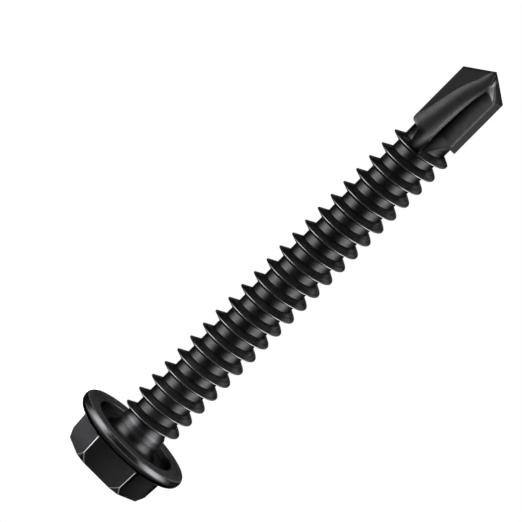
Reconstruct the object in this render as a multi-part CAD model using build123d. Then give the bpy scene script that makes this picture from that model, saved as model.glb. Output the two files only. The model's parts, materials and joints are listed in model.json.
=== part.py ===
from build123d import *
import os
from math import ceil, cos, radians, sin, sqrt, tan

# Self drilling screw with a hexagon washer head, one piece of steel
# It stands on the end of its head, with the drill point up along +Z
# All sizes are in millimetres, and Z is measured from the end of the head

# Hexagon head
head_height = 4.59
head_end_across_flats = 8.36
head_taper_angle = 3.4
head_edge_radius = 0.14
head_chamfer_angle = 25.0
head_chamfer_length = 0.85
head_base_fillet = 0.50

# Flange under the hexagon, whose rim stands out past the flats at the hexagon's foot
flange_overhang = 2.0
flange_thickness = 1.29
flange_rim_radius = 0.80

# Round recess in the end of the head
end_recess_diameter = 7.05
end_recess_wall_slope = 0.45
end_recess_depth = 0.85
end_recess_edge_radius = 0.12

# Ring recess around the neck, in the bearing face
neck_recess_diameter = 9.30
neck_recess_depth = 0.72
neck_recess_wall_slope = 0.03
neck_recess_edge_radius = 0.10
neck_fillet = 1.10

# Shank
underhead_length = 50.8
neck_diameter = 4.77
neck_length = 1.24
neck_cone_length = 0.72
core_diameter = 4.27

# Thread, right hand, faded out behind the neck and behind the drill
thread_diameter = 6.12
thread_pitch = 1.8
thread_crest_width = 0.07
thread_tip_flank_angle = 30.0
thread_head_flank_angle = 22.5
thread_start_above_bearing_face = 0.99
thread_start_fade_length = 0.75
thread_end_below_shoulder = 0.93
thread_end_fade_length = 0.50

# Drill
drill_diameter = 5.36
drill_length = 8.70
wing_foot_slope = 0.20
point_angle = 109.4
land_clearance = 0.37
land_clearance_direction = 33.0
relief_angle = 32.0

# Flute sections, seen from in front with the drill pointing up
# The left half of a flute is a flat rake face, turned a little to the left, and a rounded web
# The right half is a hollow pocket
# Columns: distance from the tip, then places to the right of the axis: crease between rake face and web,
# edge between web and pocket, far side of the pocket, then depths in front of the axis: rake face,
# crown of the web, edge of the web, near side of the pocket, far side of the pocket
flute_sections = [
    (1.8, -0.77, 0.60, 2.02, 0.28, 0.52, 0.46, 0.38, 1.10),
    (3.8, -1.53, 0.27, 2.02, 0.30, 0.66, 0.40, 0.26, 1.10),
    (5.8, -1.98, 0.13, 2.02, 0.36, 0.86, 0.46, 0.26, 1.10),
    (8.2, -2.52, 0.06, 2.02, 0.60, 1.22, 0.68, 0.46, 1.10),
]
run_out_sections = [
    (9.5, -2.90, 0.03, 0.95, 0.90, 1.58, 1.00, 1.10, 1.64),
    (10.7, -3.10, 0.02, 0.30, 1.15, 1.80, 1.30, 2.00, 2.16),
]
apex_section = (-0.3, -0.16, 0.02, 2.02, 0.16, 0.26, 0.24, 0.40, 1.20)
rake_turn = 8.0
pocket_step = 0.07
pocket_hollow = 0.08

# Bright facet beside the web at the point: three of its corners, right of, in front of and below the tip
point_facet = [(0.19, 0.05, 0.24), (0.64, 0.42, 1.74), (1.70, 1.02, 2.17)]

core_radius = core_diameter / 2
thread_radius = thread_diameter / 2
neck_radius = neck_diameter / 2
drill_radius = drill_diameter / 2
flange_back_height = head_height - flange_thickness
foot_flat_radius = head_end_across_flats / 2 + flange_back_height * tan(radians(head_taper_angle))
flange_radius = foot_flat_radius + flange_overhang
neck_end_height = head_height + neck_length
tip_height = head_height + underhead_length
shoulder_height = tip_height - drill_length
corner_height = tip_height - drill_radius / tan(radians(point_angle / 2))


def turned(outline):
    """A solid turned about Z from a closed outline of radius and height."""
    section = Plane.XZ * make_face(Polyline(outline, close=True))
    return revolve(section, Axis.Z)


def hexagon(across_flats, height):
    """A hexagon with two corners on the X axis, at one height."""
    return Plane.XY.offset(height) * RegularPolygon(across_flats / 2, 6, major_radius=False)


def hexagon_head():
    """The tapered hexagon, with softened edges and a turned chamfer at its end."""
    growth = 2 * head_height * tan(radians(head_taper_angle))
    prism = loft([
        hexagon(head_end_across_flats, 0),
        hexagon(head_end_across_flats + growth, head_height),
    ])
    nearly_one = 0.9
    side_edges = [edge for edge in prism.edges()
                  if edge.length > nearly_one * head_height
                  and abs(edge.tangent_at(0.5).Z) > nearly_one]
    prism = fillet(side_edges, head_edge_radius)
    corner_radius = head_end_across_flats / 2 / cos(radians(30)) \
        + head_chamfer_length * tan(radians(head_taper_angle)) / cos(radians(30))
    chamfer_slope = tan(radians(head_chamfer_angle))
    end_radius = corner_radius - head_chamfer_length * chamfer_slope
    envelope = turned([
        (0, 0),
        (end_radius, 0),
        (end_radius + head_height * chamfer_slope, head_height),
        (0, head_height),
    ])
    inside_flange = turned([
        (0, 0),
        (2 * flange_radius, 0),
        (2 * flange_radius, flange_back_height + flange_thickness / 2),
        (0, flange_back_height + flange_thickness / 2),
    ])
    return prism & envelope & inside_flange


def flange_and_shank():
    """The flange with its ring recess, the neck and the core of the thread."""
    rim_height = flange_back_height + flange_rim_radius
    rim_start = (flange_radius - flange_rim_radius, flange_back_height)
    rim_end_radius = flange_radius - flange_rim_radius \
        + sqrt(flange_rim_radius ** 2 - (head_height - rim_height) ** 2)
    rim = ThreePointArc(rim_start, (flange_radius, rim_height), (rim_end_radius, head_height))
    recess_radius = neck_recess_diameter / 2
    recess_floor = head_height - neck_recess_depth
    recess_edge = (recess_radius, head_height)
    neck_foot = (neck_radius, recess_floor)
    rest = Polyline(
        (rim_end_radius, head_height),
        recess_edge,
        (recess_radius - neck_recess_wall_slope, recess_floor),
        neck_foot,
        (neck_radius, neck_end_height),
        (core_radius, neck_end_height + neck_cone_length),
        (core_radius, corner_height - drill_radius),
        (0, corner_height - drill_radius),
        (0, flange_back_height),
        rim_start,
    )
    section = make_face([rim, rest])
    corner = section.vertices().sort_by_distance(neck_foot + (0,))[0]
    section = fillet(corner, neck_fillet)
    corner = section.vertices().sort_by_distance(recess_edge + (0,))[0]
    section = fillet(corner, neck_recess_edge_radius)
    return revolve(Plane.XZ * section, Axis.Z)


def end_recess():
    """The round hollow in the end of the head."""
    edge_radius = end_recess_diameter / 2
    floor_radius = edge_radius - end_recess_wall_slope
    rounding = end_recess_edge_radius
    foot_of_rounding = (edge_radius - 0.4 * rounding, 0.7 * rounding)
    return turned([
        (0, -rounding),
        (edge_radius + rounding, -rounding),
        (edge_radius + rounding, 0),
        foot_of_rounding,
        (floor_radius, end_recess_depth),
        (0, end_recess_depth),
    ])


def head_with_flange():
    """The hexagon blended into the back of the flange, and hollowed at its end."""
    blank = hexagon_head() + flange_and_shank()
    flat_radius = flange_radius - flange_rim_radius
    foot_corner_radius = foot_flat_radius / cos(radians(30))
    most_of_the_gap = 0.9 * (flat_radius - foot_corner_radius)
    blend = min(head_base_fillet, most_of_the_gap)
    flat = 0.001
    narrower_than_the_rim = 1.5 * flat_radius
    base_edges = [edge for edge in blank.edges()
                  if abs(edge.center().Z - flange_back_height) < flat
                  and abs(edge.bounding_box().size.Z) < flat
                  and edge.bounding_box().size.X < narrower_than_the_rim]
    blank = fillet(base_edges, blend)
    return blank - end_recess()


def thread():
    """The helical ridge, made turn by turn, with its ends faded into the neck and the core."""
    start_height = head_height + thread_start_above_bearing_face
    end_height = shoulder_height - thread_end_below_shoulder
    depth = thread_radius - core_radius
    sunk = 0.15
    half_crest = thread_crest_width / 2
    tip_slope = tan(radians(thread_tip_flank_angle))
    head_slope = tan(radians(thread_head_flank_angle))
    turns = ceil((end_height - start_height) / thread_pitch)
    turn_height = (end_height - start_height) / turns
    turn_angle = 360 * turn_height / thread_pitch
    corners = [
        (core_radius - sunk, -half_crest - (depth + sunk) * head_slope),
        (thread_radius, -half_crest),
        (thread_radius, half_crest),
        (core_radius - sunk, half_crest + (depth + sunk) * tip_slope),
    ]
    edges = [Helix(thread_pitch, turn_height, radius, center=(0, 0, start_height + offset))
             for radius, offset in corners]
    strips = [Face.make_surface_from_curves(one, other)
              for one, other in zip(edges, edges[1:] + edges[:1])]
    start_cap = Face(Wire.make_polygon([edge @ 0 for edge in edges], close=True))
    faces = [start_cap, start_cap.moved(along_thread(turns, turn_height, turn_angle))]
    for turn in range(turns):
        faces += [strip.moved(along_thread(turn, turn_height, turn_angle)) for strip in strips]
    ridge = Solid(Shell(faces))
    outside = thread_radius + thread_pitch
    steepness = (outside - core_radius) / depth
    fade_start = start_height + thread_start_fade_length / 3
    below = turned([
        (core_radius, fade_start),
        (core_radius, start_height - thread_pitch),
        (outside, start_height - thread_pitch),
        (outside, fade_start + thread_start_fade_length * steepness),
    ])
    above = turned([
        (core_radius, end_height),
        (outside, end_height - thread_end_fade_length * steepness),
        (outside, end_height + thread_pitch),
        (core_radius, end_height + thread_pitch),
    ])
    return ridge - below - above


def along_thread(turns, turn_height, turn_angle):
    """The screw motion that carries a turn of the thread to a later turn."""
    return Location((0, 0, turns * turn_height), (0, 0, turns * turn_angle))


def drill_blank():
    """The drill before its flutes: a cylinder with a cone point, relieved lands and slanting wing feet."""
    foot_start = shoulder_height - drill_radius
    blank = turned([
        (0, foot_start),
        (drill_radius, foot_start),
        (drill_radius, corner_height),
        (0, tip_height),
    ])
    land = (cos(radians(land_clearance_direction)), -sin(radians(land_clearance_direction)), 0)
    land_cut = beyond(Vector(land) * (drill_radius - land_clearance), land)
    lip = Vector(drill_radius, 0, corner_height - tip_height)
    fall = Vector(0, -cos(radians(relief_angle)), -sin(radians(relief_angle)))
    relief_cut = beyond((0, 0, tip_height), fall.cross(lip))
    core = Cylinder(core_radius, 2 * drill_radius, align=(Align.CENTER, Align.CENTER, Align.MIN))
    right_half = beyond((0, 0, 0), (1, 0, 0))
    under_wing = beyond((0, 0, shoulder_height), (0, -wing_foot_slope, -1)) & right_half
    under_wing = under_wing - Pos(0, 0, foot_start) * core
    for cut in (land_cut, relief_cut, under_wing):
        blank = blank - cut - half_turn(cut)
    return blank


def beyond(point, direction):
    """A large block that fills the space beyond a plane, on the side that the direction points to."""
    size = 4 * underhead_length
    return Plane(origin=point, z_dir=direction) * Box(
        size, size, size, align=(Align.CENTER, Align.CENTER, Align.MIN))


def half_turn(shape):
    """The same shape on the other side of the axis."""
    return Location((0, 0, 0), (0, 0, 180)) * shape


def flute_section(from_tip, crease, edge, side, rake, crown, edge_depth, pocket, side_depth):
    """The outline of the space in front of the drill, at one distance from the tip."""
    reach = 2 * thread_radius
    near_side = (edge + pocket_step, -pocket)
    hollow = pocket_hollow * (side - edge)
    middle = ((edge + pocket_step + side) / 2, hollow - (pocket + side_depth) / 2)
    floor = ThreePointArc(near_side, middle, (side, -side_depth))
    web = ThreePointArc((crease, -rake), ((crease + edge) / 2, -crown), (edge, -edge_depth))
    step = Line((edge, -edge_depth), near_side)
    rake_end = -rake + (reach + crease) * tan(radians(rake_turn))
    front = Polyline((side, -side_depth), (side, -2 * reach), (-reach, -2 * reach), (-reach, rake_end),
                     (crease, -rake))
    return Plane.XY.offset(tip_height - from_tip) * make_face([web, step, floor, front])


def flute():
    """The space of one flute, from beyond the tip to its run-out on the core."""
    along_drill = [flute_section(*row) for row in flute_sections]
    below_drill = [flute_section(*row) for row in run_out_sections]
    gash = loft([flute_section(*apex_section), along_drill[0]])
    run_out = loft([along_drill[-1]] + below_drill)
    return gash + loft(along_drill) + run_out


def point_facet_cut():
    """What is ground away between the web and the relief at the point, above the pocket."""
    first, second, third = [Vector(right, -front, tip_height - below) for right, front, below in point_facet]
    facet = beyond(first, (second - first).cross(third - first))
    sideways = Vector(0, 1, 0)
    beside_web = beyond(first, (second - first).cross(sideways))
    above_pocket = beyond(second, (third - second).cross(sideways))
    return facet & beside_web & above_pocket


def screw():
    """The whole screw."""
    body = head_with_flange() + thread() + drill_blank()
    for cut in (flute(), point_facet_cut()):
        body = body - cut - half_turn(cut)
    return body


os.makedirs("parts", exist_ok=True)
export_step(screw(), "parts/screw.step")
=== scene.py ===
import json
from math import cos, pi, radians, sin

import bpy
from mathutils import Matrix, Vector


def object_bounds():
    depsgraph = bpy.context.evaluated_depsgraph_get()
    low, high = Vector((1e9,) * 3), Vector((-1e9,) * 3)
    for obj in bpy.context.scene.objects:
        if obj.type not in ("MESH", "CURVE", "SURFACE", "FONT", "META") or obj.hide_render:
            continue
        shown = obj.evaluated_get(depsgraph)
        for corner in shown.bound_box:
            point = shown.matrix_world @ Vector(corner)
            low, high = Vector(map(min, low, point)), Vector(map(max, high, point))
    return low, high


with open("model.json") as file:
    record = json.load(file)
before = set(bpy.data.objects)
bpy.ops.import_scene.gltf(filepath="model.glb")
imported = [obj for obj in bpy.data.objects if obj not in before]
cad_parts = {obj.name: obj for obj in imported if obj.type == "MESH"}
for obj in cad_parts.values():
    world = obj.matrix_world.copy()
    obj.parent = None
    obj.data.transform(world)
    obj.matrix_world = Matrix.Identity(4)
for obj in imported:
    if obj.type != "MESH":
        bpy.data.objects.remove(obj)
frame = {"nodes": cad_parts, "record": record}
cad_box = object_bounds()
screw = frame["nodes"]["screw"]
mounts = {mount["name"]: mount for mount in frame["record"]["mounts"]}
MM = 0.001

# Camera: a long-lens view from the drill's side, with the screw lying at 45 degrees.
# Its angles are in degrees, its distance and clipping in metres, and its sensor and aim in millimetres
IMAGE_SIZE = 522
PIXELS_PER_MM = 10.35
CAMERA_ELEVATION = 13.3
CAMERA_ROLL = 44.78
CAMERA_DISTANCE = 2.10
CLIP_START = 0.1
CLIP_END = 10
SENSOR_WIDTH = 36.0
AXIS_RIGHT_OF_CENTRE = 3.30
HEIGHT_AT_CENTRE = 25.69

# Softboxes: name, azimuth and elevation in degrees, width and height in metres, and radiance.
# Azimuth 0 is towards the camera and 90 to the right. The two large ones have a hot middle
SOFTBOXES = [
    ("left_softbox", -67, 4, 0.56, 0.70, 3.4),
    ("left_softbox_middle", -65, 4, 0.28, 0.70, 3.4),
    ("right_softbox", 73, 4, 0.60, 0.70, 3.3),
    ("right_softbox_middle", 72, 4, 0.30, 0.70, 3.5),
    ("right_rear_softbox", 148, 36, 0.36, 0.24, 1.0),
]
SOFTBOX_DISTANCE = 0.50

# Room: its levels of light, and the bands of direction where they change, from none to full.
# A direction is told by how much of it goes to the back or up, where 1 is straight there
ROOM_LEVEL = 0.03
CEILING_LEVEL = 0.35
BACKDROP = (0.90, 0.985)
CEILING = (0.5, 0.95)
CEILING_IN_FRONT = (0.30, 0.0)

# Floor: a round table top, with its lengths in metres
FLOOR_RADIUS = 0.022
FLOOR_CORNERS = 128
FLOOR_COLOUR = (0.62, 0.62, 0.62, 1)
FLOOR_GLOW = 0.70
# Painted light: left of the head the floor glows far brighter, for the hexagon's left face to mirror
FLOOR_LEFT_PAINTED_LIGHT = 3.5
FLOOR_LEFT = (-4 * MM, -8 * MM)

# Places on the screw: heights above the head's end, radii and widths in millimetres.
# Tapers and slopes are shares, and the hexagon's facings are in degrees
BEARING_FACE_HEIGHT = mounts["bearing_face"]["pos_m"][2] / MM
TIP_HEIGHT = cad_box[1].z / MM
CHAMFER_RADIUS = 4.489
CHAMFER_SLOPE = 0.466
HEXAGON_HALF_WIDTH = 4.18
HEXAGON_TAPER = 0.0594
HEXAGON_HEIGHT = 3.1
HEXAGON_FACINGS = (30, 90, 150)
RECESS_RADIUS = 3.2
RECESS_DEPTH = 1.0
RIM_INNER_RADIUS = 5.6
RIM_OUTER_RADIUS = 6.2
RIM_HEIGHT = BEARING_FACE_HEIGHT - 0.59
BEARING_RING_RADIUS = 4.65
NECK_FOOT = BEARING_FACE_HEIGHT + 0.16
NECK_TOP = BEARING_FACE_HEIGHT + 1.61
NECK_RADIUS = 2.9
FLARE_HEIGHT = BEARING_FACE_HEIGHT + 0.66
THREAD_START = BEARING_FACE_HEIGHT + 1.11
THREAD_END = TIP_HEIGHT - 10.09
CORE_RADIUS = 2.16
CREST_RADIUS = 3.02
DRILL_START = TIP_HEIGHT - 9.19
DRILL_FULL = TIP_HEIGHT - 8.49
RUN_OUT_END = TIP_HEIGHT - 10.79
POCKET_END = TIP_HEIGHT - 8.20
POINT_START = TIP_HEIGHT - 2.09
POINT_SLOPE = 0.708

# Corners of the ground facet on the drill, each as distances ahead of the axis and below the tip
FACET_CORNERS = [(0.17, 0.29), (0.66, 1.79), (1.80, 2.24)]

# The pocket's edge beside the web, where its painted shade is darkest, is a curve that shifts ahead on its
# way up to the tip
POCKET_LENGTH = 6.4
POCKET_EDGE = 0.06
POCKET_EDGE_SHIFT = 0.54
POCKET_EDGE_CURVE = 2.2

# Bands where a finish, or painted light and shade, goes from none to full, in millimetres: across the head,
# seen from the front, for the hexagon's painted light and shade
FRONT_FACE = (-2.4, 2.3)
LEFT_FACE = (-2.38, -2.44)
RIGHT_FACE = (2.38, 2.44)
RIGHT_CORNER = (2.44, 4.6)

# Bands up the screw
ON_HEAD = (3.95, 3.7)
ABOVE_HEAD = (3.7, 3.9)
ON_HEXAGON = (HEXAGON_HEIGHT, HEXAGON_HEIGHT - 0.3)
ABOVE_CHAMFER = (0.6, 0.9)
IN_RECESS = (RECESS_DEPTH, RECESS_DEPTH - 0.1)
BELOW_RIM = (RIM_HEIGHT + 0.1, RIM_HEIGHT - 0.15)
ON_RIM = (RIM_HEIGHT - 0.1, RIM_HEIGHT + 0.3)
ON_BEARING_FACE = (BEARING_FACE_HEIGHT - 0.06, BEARING_FACE_HEIGHT - 0.02)
NEAR_BEARING_FACE = (BEARING_FACE_HEIGHT - 0.12, BEARING_FACE_HEIGHT - 0.06)
BELOW_BEARING_LIP = (BEARING_FACE_HEIGHT + 0.1, BEARING_FACE_HEIGHT + 0.05)
BELOW_NECK = (BEARING_FACE_HEIGHT + 0.2, BEARING_FACE_HEIGHT + 0.1)
ABOVE_NECK_FOOT = (NECK_FOOT, NECK_FOOT + 0.3)
BELOW_NECK_TOP = (NECK_TOP, NECK_TOP - 0.3)
ON_THREAD = (THREAD_START, THREAD_START + 0.3)
PAST_NECK_CONE = (THREAD_START + 0.3, THREAD_START + 1.0)
BEFORE_RUN_OUT = (RUN_OUT_END - 0.3, RUN_OUT_END)
ON_RUN_OUT = (RUN_OUT_END, RUN_OUT_END + 0.6)
PAST_THREAD_END = (THREAD_END, THREAD_END + 0.5)
ON_DRILL = (DRILL_START, DRILL_FULL)
OFF_DRILL = (DRILL_FULL, DRILL_START)
BELOW_POCKET = (POCKET_END + 0.02, POCKET_END - 0.02)
ON_POCKET = (POCKET_END - 0.1, POCKET_END + 0.2)
BELOW_POINT = (POINT_START + 0.1, POINT_START)
ON_POINT = (POINT_START, POINT_START + 0.5)

# Bands out from the axis
IN_CORE = (CORE_RADIUS - 0.04, CORE_RADIUS - 0.08)
AT_CORE = (CORE_RADIUS - 0.06, CORE_RADIUS - 0.04)
OUT_OF_CORE = (CORE_RADIUS, CORE_RADIUS + 0.12)
AT_CREST = (CREST_RADIUS - 0.06, CREST_RADIUS - 0.02)
NEAR_NECK = (NECK_RADIUS + 0.4, NECK_RADIUS)
AROUND_NECK = (NECK_RADIUS, NECK_RADIUS + 0.4)
WITHIN_RECESS = (RECESS_RADIUS, RECESS_RADIUS - 0.1)
IN_BEARING_RING = (BEARING_RING_RADIUS + 0.05, BEARING_RING_RADIUS)
ON_BEARING_RING = (BEARING_RING_RADIUS, BEARING_RING_RADIUS + 0.1)
OUT_TO_RIM = (5.1, 5.4)
ON_RIM_ROUND = (RIM_INNER_RADIUS, RIM_OUTER_RADIUS)

# Bands of distance from the flare's height and from the bearing ring's inner edge
AT_FLARE = (0.25, 0.0)
AT_BEARING_LIP = (0.09, 0.04)

# Bands across the drill: ahead of the axis, ahead of the pocket's edge, below a lip, and into the facet
POCKET_SIDE = (2.06, 2.0)
PAST_WEB = (0.0, 0.08)
ACROSS_POCKET = (-0.1, 1.3)
ACROSS_RUN_OUT = (0.1, 1.4)
BEFORE_RIDGE = (-0.40, -0.15)
BEFORE_WEB = (0.12, 0.02)
NEAR_LIP = (0.36, 0.20)
IN_FACET = (-0.04, 0.05)

# Coating: the share of light that it gives back
COATING = 0.031
HEAD_COATING = 0.014
BEARING_COATING = 0.055
FLANK_COATING = 0.08
# Painted shade: the rim's lower part, under its rounded edge, is made darker
UNDER_RIM_PAINTED_SHADE = 0.009
HOLLOW_COATING = 0.038

# What the coating is multiplied by in some places; most of these are painted light and shade on the
# hexagon, the neck, the pockets and the lips. A pair gives both ends of a change, and a rise or a drop is
# added to that factor
# Painted light and shade across the hexagon's faces: the left face lighter, the front face lighter to the
# right, the right face darker
FRONT_PAINTED_SHADING = (0.6, 1.5)
RIGHT_PAINTED_SHADE_DROP = 0.9
LEFT_PAINTED_LIGHT_RISE = 2.2
# Painted light on the neck, at its foot and on its flare
NECK_PAINTED_LIGHT = 2.0
FOOT_PAINTED_LIGHT = 1.05
FLARE_PAINTED_LIGHT = 1.6
THREAD_END_GAIN = 0.45
# Painted shade in the pockets and run-outs, painted light on the run-outs away from the web, and a painted
# highlight on the web's ridge
POCKET_PAINTED_SHADE = (0.10, 0.50)
RUN_OUT_PAINTED_LIGHT_AND_SHADE = (0.10, 1.5)
RIDGE_PAINTED_HIGHLIGHT = 0.9
# Painted shade along the two cutting lips
LIP_PAINTED_SHADE = 0.6
GRAIN_GAINS = (0.85, 1.15)
ROLLING_GAINS = (0.65, 1.45)

# Worn and ground places: the share of light that the steel gives back there
WORN_EDGE = 0.25
DRILL_EDGE = 0.09
CREST = 0.15
HOLLOW_EDGE = 0.10
HEXAGON_EDGE = 0.45
CHAMFER_EDGE = 0.16
GROUND_FACET = 0.10
POLISHED_RIM = 0.075

# How far wear shows: the least share that the mottle leaves, and shares by place
CREST_LEAST_WEAR = 0.8
EDGE_LEAST_WEAR = 0.6
RIM_LEAST_WEAR = 0.9
POINT_WEAR = 0.3
THREAD_WEAR = 0.15
DRILL_WEAR_RISE = 0.55

# Edges: reach and widths in millimetres, and how open the inside of the steel is at a flat and at an edge
EDGE_REACH = 0.07
EDGE_OPENNESS = (0.97, 0.70)
EDGE_SAMPLES = 12
EDGE_WIDTH = 0.065
EDGE_CORE_WIDTH = 0.026
CHAMFER_EDGE_SHARPNESS = 2.5
BEVEL_RADIUS = 0.04
BEVEL_SAMPLES = 6

# Shader values
METALLIC = 0.97
DRILL_METALLIC = 0.62
DULL_METALLIC = 0.45
FLANK_METALLIC = 0.99
GRAZING_TINT = 0.25
BLUE_CAST = 1.04
SATIN_ROUGHNESS = 0.35
RIM_ROUGHNESS = 0.24
DRILL_ROUGHNESS = 0.43
ROUGHNESS_SPREAD = (-0.04, 0.04)

# Noises: scales per millimetre, or per radian around the thread, and the middle of their range
MOTTLE_SCALE = 1.6
GRAIN_SCALE = 11.0
STREAK_SCALE = 2.0
STREAK_STRETCH = (6.0, 6.0, 0.5)
ROLLING_OUTWARD = 6.0
ROLLING_AROUND = 1.5
ROLLING_UPWARD = 0.6
NOISE_DETAIL = 3.0
NOISE_ROUGHNESS = 0.55
NOISE_MIDDLE = (0.3, 0.7)
WEAR_MIDDLE = (0.25, 0.6)

# Marks in the surface: the pitch of the recess's rings and the marks' depth, in millimetres
RING_PITCH = 0.22
MARK_DEPTH = 0.01
MARK_STRENGTH = 0.25


def make_camera():
    """The photograph's camera, rolled so that the screw's axis runs up to the right."""
    tilt = radians(CAMERA_ELEVATION)
    up = Vector((0, sin(tilt), cos(tilt)))
    right = Vector((1, 0, 0))
    back = Vector((0, -cos(tilt), sin(tilt)))
    target = Vector((-AXIS_RIGHT_OF_CENTRE * MM, 0, HEIGHT_AT_CENTRE * MM))
    roll = radians(CAMERA_ROLL)
    camera_right = right * cos(roll) + up * sin(roll)
    camera_up = up * cos(roll) - right * sin(roll)
    view_width = IMAGE_SIZE / PIXELS_PER_MM * MM
    data = bpy.data.cameras.new("camera")
    data.sensor_width = SENSOR_WIDTH
    data.lens = SENSOR_WIDTH * CAMERA_DISTANCE / view_width
    data.clip_start = CLIP_START
    data.clip_end = CLIP_END
    camera = bpy.data.objects.new("camera", data)
    rotation = Matrix((camera_right, camera_up, back)).transposed().to_4x4()
    camera.matrix_world = Matrix.Translation(target + back * CAMERA_DISTANCE) @ rotation
    bpy.context.scene.collection.objects.link(camera)
    bpy.context.scene.camera = camera


def add_softbox(name, azimuth, elevation, width, height, radiance):
    """A rectangular softbox that faces the screw."""
    turn = radians(azimuth)
    tilt = radians(elevation)
    way = Vector((sin(turn) * cos(tilt), -cos(turn) * cos(tilt), sin(tilt)))
    data = bpy.data.lights.new(name, "AREA")
    data.shape = "RECTANGLE"
    data.size = width
    data.size_y = height
    data.energy = radiance * pi * width * height
    lamp = bpy.data.objects.new(name, data)
    middle = (cad_box[0] + cad_box[1]) / 2
    lamp.location = middle + way * SOFTBOX_DISTANCE
    lamp.rotation_mode = "QUATERNION"
    lamp.rotation_quaternion = way.to_track_quat("Z", "Y")
    bpy.context.scene.collection.objects.link(lamp)


class Graph:
    """Adds nodes to a node tree. An input is given a number, a colour, or another node's output."""

    def __init__(self, tree):
        self.tree = tree

    def add(self, kind, inputs=(), output=0, **settings):
        node = self.tree.nodes.new("ShaderNode" + kind)
        for name, value in settings.items():
            setattr(node, name, value)
        for name, value in dict(inputs).items():
            if isinstance(value, bpy.types.NodeSocket):
                self.tree.links.new(value, node.inputs[name])
            else:
                node.inputs[name].default_value = value
        return node.outputs[output]

    def math(self, operation, first, second=0.0):
        return self.add("Math", {0: first, 1: second}, operation=operation)

    def total(self, first, *others):
        for other in others:
            first = self.math("ADD", first, other)
        return first

    def product(self, first, *others):
        for other in others:
            first = self.math("MULTIPLY", first, other)
        return first

    def distance(self, value, target):
        """How far a value is from its target, to either side."""
        return self.math("ABSOLUTE", self.math("SUBTRACT", value, target))

    def ramp(self, value, low, high, start=0.0, end=1.0):
        """Goes smoothly from start to end while the value goes from low to high."""
        return self.add("MapRange", {"Value": value, "From Min": low, "From Max": high,
                                     "To Min": start, "To Max": end}, interpolation_type="SMOOTHSTEP")

    def mix(self, share, first, second):
        return self.add("Mix", {"Factor": share, "A": first, "B": second})

    def noise(self, place, scale):
        return self.add("TexNoise", {"Vector": place, "Scale": scale, "Detail": NOISE_DETAIL,
                                     "Roughness": NOISE_ROUGHNESS})


class Surface(Graph):
    """The screw's node tree, with a surface point's place in millimetres and what many finishes share."""

    def __init__(self, tree):
        super().__init__(tree)
        here = self.add("TexCoord", output="Object")
        self.place = self.add("VectorMath", {0: here, "Scale": 1 / MM}, operation="SCALE")
        self.x, self.y, self.z = self.add("SeparateXYZ", {0: self.place}).node.outputs
        squares = self.total(self.product(self.x, self.x), self.product(self.y, self.y))
        self.radius = self.math("SQRT", squares)
        # The second flute is the first one turned by half a turn, and so is what lies ahead
        self.ahead = self.product(self.x, self.math("SIGN", self.y), -1.0)
        self.mottle = self.noise(self.place, MOTTLE_SCALE)
        self.grain = self.noise(self.place, GRAIN_SCALE)
        self.on_head = self.ramp(self.z, *ON_HEAD)
        self.on_drill = self.ramp(self.z, *ON_DRILL)


def make_world():
    """White for the camera. Gloss sees white behind the screw, a dim room and a soft ceiling."""
    world = bpy.data.worlds.new("studio")
    bpy.context.scene.world = world
    world.use_nodes = True
    graph = Graph(world.node_tree)
    background = world.node_tree.nodes["Background"]
    background.inputs["Color"].default_value = (1, 1, 1, 1)
    way = graph.add("SeparateXYZ", {0: graph.add("TexCoord", output="Generated")}).node
    to_back = way.outputs["Y"]
    overhead = graph.product(graph.ramp(way.outputs["Z"], *CEILING),
                             graph.ramp(to_back, *CEILING_IN_FRONT))
    ceiling = graph.mix(overhead, ROOM_LEVEL, CEILING_LEVEL)
    room = graph.mix(graph.ramp(to_back, *BACKDROP), ceiling, 1.0)
    seen = graph.add("LightPath", output="Is Camera Ray")
    world.node_tree.links.new(graph.mix(seen, room, 1.0), background.inputs["Strength"])


def make_floor():
    """A small pale table top. It keeps the shadow, glows for camera and gloss, and is clear from below. Its
    far brighter glow on the left is painted light for the hexagon's left face to mirror.
    """
    bpy.ops.mesh.primitive_circle_add(vertices=FLOOR_CORNERS, radius=FLOOR_RADIUS, fill_type="NGON",
                                      location=(0, 0, 0))
    floor = bpy.context.object
    floor.name = "floor"
    material = bpy.data.materials.new("floor")
    material.use_nodes = True
    material.node_tree.nodes.clear()
    graph = Graph(material.node_tree)
    path = graph.add("LightPath").node
    seen = graph.math("MAXIMUM", path.outputs["Is Camera Ray"], path.outputs["Is Glossy Ray"])
    x = graph.add("SeparateXYZ", {0: graph.add("TexCoord", output="Object")})
    # Painted light: the glow rises well above white on the floor's left, for the hexagon's left face to
    # mirror
    level = graph.ramp(x, *FLOOR_LEFT, FLOOR_GLOW, FLOOR_LEFT_PAINTED_LIGHT)
    glow = graph.add("Emission", {"Strength": graph.product(seen, level)})
    pale = graph.add("BsdfDiffuse", {"Color": FLOOR_COLOUR})
    top = graph.add("AddShader", {0: pale, 1: glow})
    from_below = graph.add("NewGeometry", output="Backfacing")
    table = graph.add("MixShader", {0: from_below, 1: top, 2: graph.add("BsdfTransparent")})
    out = material.node_tree.nodes.new("ShaderNodeOutputMaterial")
    material.node_tree.links.new(table, out.inputs["Surface"])
    floor.data.materials.append(material)


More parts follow.
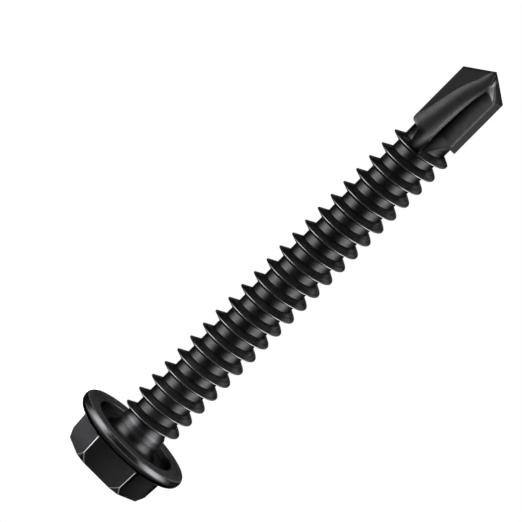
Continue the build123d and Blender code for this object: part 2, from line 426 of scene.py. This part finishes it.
def hexagon_edges(surface):
    """Marks where two of the hexagon's faces meet, the turned chamfer among them."""
    half_width = surface.total(surface.product(surface.z, HEXAGON_TAPER), HEXAGON_HALF_WIDTH)
    chamfer = surface.total(surface.product(surface.z, CHAMFER_SLOPE), CHAMFER_RADIUS)
    nearest = surface.product(surface.math("SUBTRACT", surface.radius, chamfer), CHAMFER_EDGE_SHARPNESS)
    second = None
    for angle in HEXAGON_FACINGS:
        facing = (cos(radians(angle)), sin(radians(angle)), 0)
        across = surface.add("VectorMath", {0: surface.place, 1: facing}, output="Value",
                             operation="DOT_PRODUCT")
        face = surface.math("SUBTRACT", surface.math("ABSOLUTE", across), half_width)
        lower = surface.math("MINIMUM", nearest, face)
        second = lower if second is None else surface.math("MAXIMUM", second, lower)
        nearest = surface.math("MAXIMUM", nearest, face)
    line = surface.ramp(second, -EDGE_WIDTH, -EDGE_CORE_WIDTH)
    return surface.product(line, surface.ramp(surface.z, *ON_HEXAGON))


def hexagon_painted_light_and_shade(surface):
    """Painted light and shade on the hexagon: the left face painted much lighter, the front face lighter
    towards the right, and the right face shaded at its near edge.
    """
    front = surface.ramp(surface.x, *FRONT_FACE, *FRONT_PAINTED_SHADING)
    right = surface.ramp(surface.x, *RIGHT_FACE, 0.0, -RIGHT_PAINTED_SHADE_DROP)
    right_corner = surface.ramp(surface.x, *RIGHT_CORNER, 0.0, RIGHT_PAINTED_SHADE_DROP)
    left = surface.ramp(surface.x, *LEFT_FACE, 0.0, LEFT_PAINTED_LIGHT_RISE)
    return surface.total(front, right, right_corner, left)


def neck_painted_light(surface):
    """Painted light: lightens the neck and, more so, the flare at its foot."""
    above_foot = surface.ramp(surface.z, *ABOVE_NECK_FOOT)
    neck = surface.product(surface.ramp(surface.z, *BELOW_NECK_TOP), above_foot,
                           surface.ramp(surface.radius, *NEAR_NECK))
    foot = surface.mix(above_foot, FOOT_PAINTED_LIGHT, 1.0)
    gain = surface.total(foot, surface.product(neck, NECK_PAINTED_LIGHT - 1.0))
    from_flare = surface.distance(surface.z, FLARE_HEIGHT)
    return surface.product(gain, surface.ramp(from_flare, *AT_FLARE, 1.0, FLARE_PAINTED_LIGHT))


def ground_facets(surface):
    """Marks the ground facet beside the web at the point, and its twin behind."""
    corners = [(ahead, TIP_HEIGHT - below_tip) for ahead, below_tip in FACET_CORNERS]
    inside = None
    for (x1, z1), (x2, z2) in zip(corners, corners[1:] + corners[:1]):
        edge = Vector((x2 - x1, z2 - z1)).normalized()
        from_x = surface.product(surface.math("SUBTRACT", surface.ahead, x1), -edge.y)
        from_z = surface.product(surface.math("SUBTRACT", surface.z, z1), edge.x)
        depth = surface.total(from_x, from_z)
        inside = depth if inside is None else surface.math("MINIMUM", inside, depth)
    return surface.ramp(inside, *IN_FACET)


def pocket_painted_light_and_shade(surface):
    """Painted shade and light: darkens the pockets and run-outs, most of all beside the web, lightens the
    run-outs away from the web, and lightens the web's ridge as a painted highlight.
    """
    along = surface.math("DIVIDE", surface.math("SUBTRACT", surface.z, POCKET_END), POCKET_LENGTH)
    along = surface.math("POWER", surface.math("MAXIMUM", along, 0.0), POCKET_EDGE_CURVE)
    web = surface.total(surface.product(along, POCKET_EDGE_SHIFT), POCKET_EDGE)
    past_web = surface.math("SUBTRACT", surface.ahead, web)
    on_run_out = surface.ramp(surface.z, *ON_RUN_OUT)
    gain = surface.mix(surface.ramp(surface.z, *BELOW_POCKET),
                       surface.ramp(past_web, *ACROSS_POCKET, *POCKET_PAINTED_SHADE),
                       surface.ramp(past_web, *ACROSS_RUN_OUT, *RUN_OUT_PAINTED_LIGHT_AND_SHADE))
    pocket = surface.product(surface.ramp(past_web, *PAST_WEB), on_run_out,
                             surface.ramp(surface.radius, *IN_CORE),
                             surface.ramp(surface.ahead, *POCKET_SIDE),
                             surface.ramp(surface.z, *BELOW_POINT))
    ridge = surface.product(surface.ramp(past_web, *BEFORE_RIDGE), surface.ramp(past_web, *BEFORE_WEB),
                            on_run_out, RIDGE_PAINTED_HIGHLIGHT)
    return surface.mix(pocket, surface.total(ridge, 1.0), gain)


def lip_painted_shade(surface):
    """Painted shade: darkens a narrow band along the two cutting lips."""
    lip_height = surface.math("SUBTRACT", TIP_HEIGHT,
                              surface.product(surface.math("ABSOLUTE", surface.x), POINT_SLOPE))
    return surface.ramp(surface.math("SUBTRACT", lip_height, surface.z), *NEAR_LIP, 1.0, LIP_PAINTED_SHADE)


def rolling_gain(surface):
    """Light and dark marks that run around the thread's flanks, as rolling leaves them."""
    turn = surface.math("ARCTAN2", surface.y, surface.x)
    around = surface.add("CombineXYZ", {"X": surface.product(surface.radius, ROLLING_OUTWARD),
                                        "Y": surface.product(turn, ROLLING_AROUND),
                                        "Z": surface.product(surface.z, ROLLING_UPWARD)})
    return surface.ramp(surface.noise(around, 1.0), *NOISE_MIDDLE, *ROLLING_GAINS)


def thread_places(surface):
    """Marks the thread's flanks, its worn crest, and the core left bare between it and the drill."""
    on_thread = surface.product(surface.ramp(surface.z, *ON_THREAD),
                                surface.ramp(surface.on_drill, 1.0, 0.0))
    flank = surface.product(on_thread, surface.ramp(surface.radius, *OUT_OF_CORE),
                            surface.ramp(surface.z, *PAST_NECK_CONE))
    crest = surface.product(on_thread, surface.ramp(surface.radius, *AT_CREST),
                            surface.ramp(surface.mottle, *WEAR_MIDDLE, CREST_LEAST_WEAR, 1.0))
    bare_core = surface.product(surface.ramp(surface.z, *PAST_THREAD_END),
                                surface.ramp(surface.z, *OFF_DRILL),
                                surface.ramp(surface.radius, *AT_CORE))
    return flank, crest, bare_core


def flange_places(surface):
    """Marks the bearing ring, and what lies within it around the neck, down to the head's end."""
    bearing = surface.product(surface.ramp(surface.radius, *ON_BEARING_RING),
                              surface.ramp(surface.z, *ON_BEARING_FACE))
    within = surface.product(surface.ramp(surface.radius, *IN_BEARING_RING),
                             surface.ramp(surface.radius, *AROUND_NECK),
                             surface.ramp(surface.z, *BELOW_NECK))
    return bearing, within


def bearing_lip(surface):
    """Marks the thin edge between the bearing ring and the hollow around the neck."""
    from_ring = surface.distance(surface.radius, BEARING_RING_RADIUS)
    return surface.product(surface.ramp(from_ring, *AT_BEARING_LIP),
                           surface.ramp(surface.z, *NEAR_BEARING_FACE),
                           surface.ramp(surface.z, *BELOW_BEARING_LIP))


def rim(surface):
    """Marks the flange's rounded rim."""
    return surface.product(surface.ramp(surface.radius, *ON_RIM_ROUND),
                           surface.ramp(surface.mottle, *NOISE_MIDDLE, RIM_LEAST_WEAR, 1.0),
                           surface.ramp(surface.z, *ON_RIM))


def worn_edges(surface):
    """Marks sharp edges by how open the steel's inside is there, less so on the thread and point."""
    openness = surface.add("AmbientOcclusion", {"Distance": EDGE_REACH * MM}, output="AO", inside=True,
                           samples=EDGE_SAMPLES)
    wear = surface.total(surface.ramp(surface.z, *ON_THREAD, 1.0, THREAD_WEAR),
                         surface.ramp(surface.z, *ON_POCKET, 0.0, DRILL_WEAR_RISE))
    return surface.product(surface.ramp(openness, *EDGE_OPENNESS),
                           surface.ramp(surface.mottle, *WEAR_MIDDLE, EDGE_LEAST_WEAR, 1.0),
                           surface.ramp(surface.z, *ON_POINT, 1.0, POINT_WEAR), wear)


def coating_tone(surface, flank, bare_core, bearing, within):
    """The black coating's tone all over the screw, before wear. It holds painted light and shade on the
    hexagon, the neck, the pockets, the lips and under the rim.
    """
    # Painted shade on the lower part of the flange's rim
    painted_shade_under_rim = surface.product(surface.ramp(surface.radius, *OUT_TO_RIM),
                                surface.ramp(surface.z, *BELOW_RIM))
    hollow = surface.product(within, surface.ramp(surface.z, *ABOVE_HEAD))
    hexagon = surface.product(hexagon_painted_light_and_shade(surface), HEAD_COATING)
    shank = surface.mix(flank, COATING, FLANK_COATING)
    tone = surface.mix(surface.on_head, shank, hexagon)
    tone = surface.mix(bearing, tone, BEARING_COATING)
    tone = surface.mix(painted_shade_under_rim, tone, UNDER_RIM_PAINTED_SHADE)
    tone = surface.mix(hollow, tone, HOLLOW_COATING)
    return surface.product(tone, surface.ramp(surface.grain, *NOISE_MIDDLE, *GRAIN_GAINS),
                           pocket_painted_light_and_shade(surface), lip_painted_shade(surface),
                           surface.mix(bare_core, 1.0, THREAD_END_GAIN),
                           surface.mix(surface.on_head, neck_painted_light(surface), 1.0),
                           surface.mix(flank, 1.0, rolling_gain(surface)))


def with_wear(surface, tone, crest):
    """Lays the worn and polished places over the coating's tone."""
    tone = surface.mix(rim(surface), tone, POLISHED_RIM)
    corner_tone = surface.ramp(surface.z, *ABOVE_CHAMFER, CHAMFER_EDGE, HEXAGON_EDGE)
    tone = surface.mix(hexagon_edges(surface), tone, corner_tone)
    tone = surface.mix(ground_facets(surface), tone, GROUND_FACET)
    edge_tone = surface.ramp(surface.z, *BEFORE_RUN_OUT, WORN_EDGE, DRILL_EDGE)
    tone = surface.mix(worn_edges(surface), tone, edge_tone)
    tone = surface.mix(bearing_lip(surface), tone, HOLLOW_EDGE)
    return surface.mix(crest, tone, CREST)


def marked_normal(surface):
    """The surface's direction, with softened edges, grain, streaks on the drill and rings in the recess."""
    stretched = surface.add("VectorMath", {0: surface.place, 1: STREAK_STRETCH}, operation="MULTIPLY")
    streaks = surface.noise(stretched, STREAK_SCALE)
    rings = surface.math("SINE", surface.product(surface.radius, 2 * pi / RING_PITCH))
    recess = surface.product(surface.ramp(surface.z, *IN_RECESS),
                             surface.ramp(surface.radius, *WITHIN_RECESS))
    marks = surface.mix(recess, surface.mix(surface.on_drill, surface.grain, streaks), rings)
    bevel = surface.add("Bevel", {"Radius": BEVEL_RADIUS * MM}, samples=BEVEL_SAMPLES)
    return surface.add("Bump", {"Strength": MARK_STRENGTH, "Distance": MARK_DEPTH * MM, "Height": marks,
                                "Normal": bevel})


def black_coated_steel():
    """Black coated steel: satin on the thread, rougher on the drill, worn bright along its edges, with
    painted light and shade in its tone.
    """
    material = bpy.data.materials.new("black_coated_steel")
    material.use_nodes = True
    surface = Surface(material.node_tree)
    flank, crest, bare_core = thread_places(surface)
    bearing, within = flange_places(surface)

    tone = coating_tone(surface, flank, bare_core, bearing, within)
    tone = with_wear(surface, tone, crest)
    colour = surface.add("CombineColor", {"Red": tone, "Green": tone,
                                          "Blue": surface.product(tone, BLUE_CAST)})

    dull = surface.math("MAXIMUM", bearing, within)
    metallic = surface.mix(surface.on_drill, METALLIC, DRILL_METALLIC)
    metallic = surface.mix(flank, metallic, FLANK_METALLIC)
    metallic = surface.mix(dull, metallic, DULL_METALLIC)

    satin = surface.ramp(surface.radius, *OUT_TO_RIM, SATIN_ROUGHNESS, RIM_ROUGHNESS)
    roughness = surface.total(surface.mix(surface.on_drill, satin, DRILL_ROUGHNESS),
                              surface.ramp(surface.mottle, *NOISE_MIDDLE, *ROUGHNESS_SPREAD))

    shader = material.node_tree.nodes["Principled BSDF"]
    shader.inputs["Specular IOR Level"].default_value = 0.0
    shader.inputs["Specular Tint"].default_value = (GRAZING_TINT, GRAZING_TINT, GRAZING_TINT, 1)
    links = material.node_tree.links
    links.new(colour, shader.inputs["Base Color"])
    links.new(metallic, shader.inputs["Metallic"])
    links.new(roughness, shader.inputs["Roughness"])
    links.new(marked_normal(surface), shader.inputs["Normal"])
    return material


make_camera()
make_world()
make_floor()
for softbox in SOFTBOXES:
    add_softbox(*softbox)
steel = black_coated_steel()
for material_slot in screw.material_slots:
    material_slot.material = steel

bpy.context.scene.view_settings.view_transform = "Standard"
